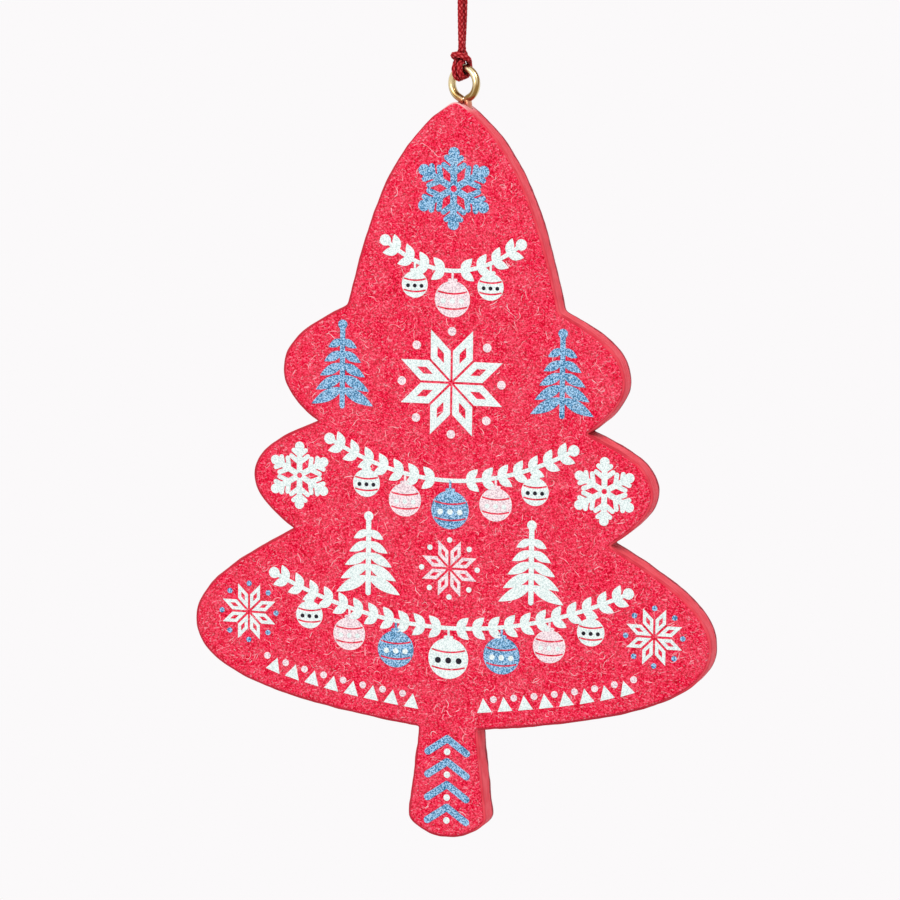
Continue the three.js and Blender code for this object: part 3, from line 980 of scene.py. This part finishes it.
def ribbon(points, width):
    """A line of even width with round ends."""
    left, right = [], []
    last = len(points) - 1
    for i, p in enumerate(points):
        ahead = (points[min(i + 1, last)] - points[max(i - 1, 0)]).normalized()
        across = Vector((-ahead.y, ahead.x)) * (width / 2)
        left.append(p + across)
        right.append(p - across)
    start = math.degrees(math.atan2(*(points[1] - points[0]).yx))
    end = math.degrees(math.atan2(*(points[-1] - points[-2]).yx))
    turns = [180 * k / ROUND_END_STEPS for k in range(1, ROUND_END_STEPS)]
    cap = [points[-1] + ray(end + 90 - turn, width / 2) for turn in turns]
    butt = [points[0] + ray(start - 90 - turn, width / 2) for turn in turns]
    return [*left, *cap, *reversed(right), *butt]


def leaf(root, degrees, length, width):
    """A pointed oval that grows from its root."""
    steps = 12
    ahead, across = ray(degrees), ray(degrees + 90)
    sides = [[], []]
    for i in range(steps + 1):
        share = i / steps
        swell = width / 2 * math.sin(math.pi * share ** 0.85) ** 0.9 if 0 < i < steps else 0.0
        for side, way in zip(sides, (1, -1)):
            side.append(root + ahead * (length * share) + across * (way * swell))
    return [*sides[0], *sides[1][-2:0:-1]]


def snowflake(ink, art, centre, radius):
    """Six forked arms with round ends about an open middle."""
    width = 0.17 * radius + 0.1
    for arm in range(6):
        way = 90 + 60 * arm
        art.put(ink, ribbon([centre, centre + ray(way, 0.93 * radius)], width))
        for share, length in ((0.42, 0.36), (0.68, 0.26)):
            fork = centre + ray(way, share * radius)
            for lean in (-52, 52):
                art.put(ink, ribbon([fork, fork + ray(way + lean, length * radius)], 0.82 * width))
        art.put(ink, disc(centre + ray(way, 0.97 * radius), 0.85 * width))
    art.put(ink, disc(centre, 0.2 * radius))
    art.open(ink, disc(centre, 0.09 * radius))


def rosette(ink, accent, art, centre, radius):
    """The eight-pointed star of knitted winter patterns: eight slit lozenges, with dots between them."""
    half_petal = 22.5
    side = radius / (2 * math.cos(math.pi / 8))
    shrink = 1 - 0.5 / side
    for petal in range(8):
        way = half_petal + 45 * petal
        middle = centre + ray(way, radius / 2)
        before, after = (centre + ray(way + turn, side) for turn in (-half_petal, half_petal))
        corners = [centre, before, centre + ray(way, radius), after]
        art.put(ink, [middle + (c - middle) * shrink for c in corners])
        art.open(ink, [middle + (c - middle) * 0.3 for c in corners])
        art.put(accent, disc(centre + ray(way + half_petal, 0.86 * radius), 0.062 * radius + 0.1))


def fir(ink, art, foot, height, width):
    """A stem with tiers of drooping leaves and a round tip."""
    art.put(ink, ribbon([foot, foot + Vector((0, height))], FIR_STEM))
    for tier in range(FIR_TIERS):
        share = tier / FIR_TIERS
        root = foot + Vector((0, height * (0.22 + 0.74 * share)))
        reach = width / 2 * (1 - 0.72 * share) + 0.35
        for way, lean in ((0, -FIR_LEAN), (180, FIR_LEAN)):
            art.put(ink, leaf(root, way + lean, reach * 1.12, 1.75 - 0.7 * share))
    art.put(ink, disc(foot + Vector((0, height)), FIR_TIP))


def swag(half_span, drop, sag, x):
    return at(x, drop + sag * (1 - (x / half_span) ** 2))


def sprig(art, half_span, drop, sag):
    """A sprig that hangs between two points, its leaves in pairs that lean out from the middle."""
    places = [half_span * (i / SPRIG_STEPS - 1) for i in range(2 * SPRIG_STEPS + 1)]
    line = [swag(half_span, drop, sag, x) for x in places]
    art.put("white", ribbon(line, SPRIG_WIDTH))
    spaced = evenly(line, LEAF_SPACING)
    for i, root in enumerate(spaced[1:-1], 1):
        if abs(root.x) < SPRIG_BARE_MIDDLE:
            continue
        ahead = spaced[i + 1] - spaced[i - 1]
        way = math.degrees(math.atan2(ahead.y, ahead.x)) + (180 if root.x < 0 else 0)
        for lean in (-LEAF_LEAN, LEAF_LEAN):
            art.put("white", leaf(root, way + lean, LEAF_LENGTH, LEAF_WIDTH))
    for end in (line[0], line[-1]):
        art.put("white", disc(end, SPRIG_KNOB))


def bauble(ink, art, hook, radius):
    """A hanging ball with a cap, two thin bands and three dots."""
    centre = hook - Vector((0, radius + BALL_DROP))
    cap = [centre + Vector((side * BALL_CAP, radius + BALL_CAP_RISE)) for side in (-1, 1)]
    art.put(ink, ribbon([hook, centre], BALL_STRING), disc(centre, radius), ribbon(cap, BALL_CAP))
    reach = radius * 0.8
    for row in (-1, 1):
        band = []
        for k in range(-BAND_STEPS, BAND_STEPS + 1):
            sag = 0.12 * radius * (1 - (k / BAND_STEPS) ** 2)
            band.append(centre + Vector((reach * k / BAND_STEPS, row * radius * 0.42 - sag)))
        art.open(ink, ribbon(band, BAND_WIDTH))
    accent = "black" if ink == "white" else "white"
    for k in (-1, 0, 1):
        spot = disc(centre + Vector((0.52 * radius * k, -0.1 * radius)), 0.15 * radius)
        art.inlay(ink, accent, spot)


def draw_print(outline):
    art = Print()
    snowflake("blue", art, at(0, 12.7), radius=5.4)
    rosette("white", "pink", art, at(0, 41.4), radius=8.9)
    rosette("pink", "white", art, at(0, 69.2), radius=5.0)
    for side in (-1, 1):
        fir("blue", art, at(side * 16.9, 45.6), height=12.2, width=9.0)
        snowflake("white", art, at(side * 23.5, 56.4), radius=4.5)
        fir("white", art, at(side * 12.6, 73.6), height=11.6, width=9.4)
        rosette("white", "blue", art, at(side * 31.4, 77.6), radius=5.0)
    balls = (("pink", 0, 2.7), ("white", 5.8, 2.0))
    garland(art, balls, half_span=10.4, drop=20.6, sag=4.2)
    balls = (("blue", 0, 2.9), ("pink", 7.0, 2.5), ("white", 13.0, 2.1))
    garland(art, balls, half_span=18.8, drop=50.6, sag=5.4)
    balls = (("white", 0, 3.1), ("blue", 8.2, 2.8), ("pink", 15.5, 2.5), ("white", 21.8, 2.1))
    garland(art, balls, half_span=27.4, drop=71.4, sag=6.8)
    border(art, outline)
    for tier in range(CHEVRONS):
        trunk_chevron(art, CHEVRON_DROP + CHEVRON_SPACING * tier)
    return art


def garland(art, balls, half_span, drop, sag):
    """A sprig with balls, each given as its ink, its distance from the middle and its radius."""
    sprig(art, half_span, drop, sag)
    for ink, x, radius in balls:
        for side in (-1, 1) if x else (1,):
            bauble(ink, art, swag(half_span, drop, sag, side * x), radius)


def border(art, outline):
    """Teeth and dots that follow the board's lower edge on both sides of the trunk."""
    low = [p for p in inset(outline, BORDER_INSET)
           if BORDER_TOP < -p.y < BORDER_FOOT and abs(p.x) > BORDER_START]
    for side in (-1, 1):
        edge = sorted((p for p in low if p.x * side > 0), key=lambda p: abs(p.x))
        spaced = evenly(edge, TOOTH_SPACING)
        for p, after in zip(spaced, spaced[1:]):
            ahead = (after - p).normalized()
            up = Vector((-ahead.y, ahead.x)) * side
            half = ahead * TOOTH_HALF_WIDTH
            art.put("white", [p - half, p + half, p + up * TOOTH_HEIGHT])
            art.put("pink", disc((p + after) / 2 + up * BORDER_DOT_RISE, BORDER_DOT))


def trunk_chevron(art, drop):
    peak = at(0, drop)
    left, right = (peak + Vector((side * CHEVRON_REACH, -CHEVRON_FALL)) for side in (-1, 1))
    art.put("blue", ribbon([left, peak], CHEVRON_WIDTH), ribbon([peak, right], CHEVRON_WIDTH))
    art.put("white", disc(peak + Vector((0, -CHEVRON_DOT_DROP)), CHEVRON_DOT))


def add_ink(name, shapes, openings, material):
    """Thin closed plates of one ink that follow the paper's face."""
    flat, triangles, _ = filled(shapes, INK_GRID, openings)
    used = sorted({i for t in triangles for i in t})
    number = {i: k for k, i in enumerate(used)}
    heights = [FRONT_Y - PAPER_THICKNESS - paper_relief(flat[i].x, flat[i].y) for i in used]
    points = [board_point(flat[i], y - INK_HEIGHT) for i, y in zip(used, heights)]
    points += [board_point(flat[i], y + INK_HEIGHT / 2) for i, y in zip(used, heights)]
    under = len(used)
    faces, edges = [], {}
    for t in triangles:
        a, b, c = (number[i] for i in t)
        faces += [(a, b, c), (c + under, b + under, a + under)]
        for pair in ((a, b), (b, c), (c, a)):
            edges[pair] = True
    faces += [(b, a, a + under, b + under) for a, b in edges if (b, a) not in edges]
    dress(add_mesh(name, points, faces, material), "board", "facing_paper")


def make_print(outline):
    art = draw_print(outline)
    for ink, colours in INKS.items():
        material = paper_finish("ink_" + ink, colours, INK_GRAIN_PER_MM, INK_SOFTNESS)
        add_ink("print_" + ink, art.shapes[ink], art.openings[ink], material)


# Stage

def make_camera():
    azimuth, elevation, roll = map(math.radians, (VIEW_AZIMUTH, VIEW_ELEVATION, VIEW_ROLL))
    level = math.cos(elevation)
    back = Vector((math.sin(azimuth) * level, -math.cos(azimuth) * level, math.sin(elevation)))
    right = Vector((math.cos(azimuth), math.sin(azimuth), 0))
    up = back.cross(right)
    place = BOARD_CENTRE + VIEW_DISTANCE * back - VIEW_AIM_RIGHT * right - VIEW_AIM_UP * up
    rolled_right = right * math.cos(roll) + up * math.sin(roll)
    rolled_up = up * math.cos(roll) - right * math.sin(roll)
    axes = Matrix((rolled_right, rolled_up, back)).transposed()
    data = bpy.data.cameras.new("camera")
    data.sensor_width = SENSOR_WIDTH
    data.lens = FOCAL_PIXELS / IMAGE_PIXELS * SENSOR_WIDTH
    camera = bpy.data.objects.new("camera", data)
    camera.matrix_world = Matrix.Translation(metres(place)) @ axes.to_4x4()
    bpy.context.scene.collection.objects.link(camera)
    bpy.context.scene.camera = camera


def make_stage():
    """A backdrop seen by the camera and in reflections, even room light, a floor and two soft lamps."""
    scene = bpy.context.scene
    scene.view_settings.view_transform = "Standard"
    world = bpy.data.worlds.new("studio")
    scene.world = world
    world.use_nodes = True
    tree = world.node_tree
    tree.nodes.clear()
    path = tree.nodes.new("ShaderNodeLightPath")
    seen = path.outputs["Is Camera Ray"]
    for kind in ("Is Glossy Ray", "Is Transmission Ray"):
        either = tree.nodes.new("ShaderNodeMath")
        either.operation = "MAXIMUM"
        tree.links.new(seen, either.inputs[0])
        tree.links.new(path.outputs[kind], either.inputs[1])
        seen = either.outputs[0]
    ambient = tree.nodes.new("ShaderNodeBackground")
    ambient.inputs["Strength"].default_value = ROOM_LIGHT
    ambient.inputs["Color"].default_value = (1, 1, 1, 1)
    backdrop = tree.nodes.new("ShaderNodeBackground")
    backdrop.inputs["Color"].default_value = srgb(*BACKDROP)
    blend = tree.nodes.new("ShaderNodeMixShader")
    tree.links.new(seen, blend.inputs[0])
    tree.links.new(ambient.outputs[0], blend.inputs[1])
    tree.links.new(backdrop.outputs[0], blend.inputs[2])
    output = tree.nodes.new("ShaderNodeOutputWorld")
    tree.links.new(blend.outputs[0], output.inputs[0])
    make_floor()
    add_lamp("key", offset=(-420, -820, 330), size=520, power=4.2)
    add_lamp("fill", offset=(500, -420, 780), size=300, power=3.9)


def make_floor():
    """A pale round table far below the hanging board."""
    finish = Finish("table", 0.9, **{"Specular IOR Level": 0.1})
    pale = finish.mix(finish.noise(0.02, 2.0), srgb(240, 238, 239), srgb(246, 244, 245))
    sides = FLOOR_SIDES
    shape = [ray(360 * i / sides, FLOOR_RADIUS) for i in range(sides)]
    level = core_low.z - FLOOR_DROP
    points = [Vector((p.x, p.y, level - k * FLOOR_THICKNESS)) for k in (0, 1) for p in shape]
    caps = [tuple(range(sides)), tuple(reversed(range(sides, 2 * sides)))]
    walls = [(i + sides, (i + 1) % sides + sides, (i + 1) % sides, i) for i in range(sides)]
    floor = add_mesh("floor", points, [*caps, *walls], finish.colour(pale))


def add_lamp(name, offset, size, power):
    """A soft square lamp at an offset from the middle of the board, turned to it."""
    data = bpy.data.lights.new(name, "AREA")
    data.shape = "SQUARE"
    data.size = size * MM
    data.energy = power
    lamp = bpy.data.objects.new(name, data)
    lamp.location = metres(BOARD_CENTRE + Vector(offset))
    lamp.rotation_euler = Vector(offset).to_track_quat("Z", "Y").to_euler()
    bpy.context.scene.collection.objects.link(lamp)


make_camera()
make_cord()
make_eye()
outline = board_outline()
make_board(outline)
make_papers(outline)
make_print(outline)
make_stage()
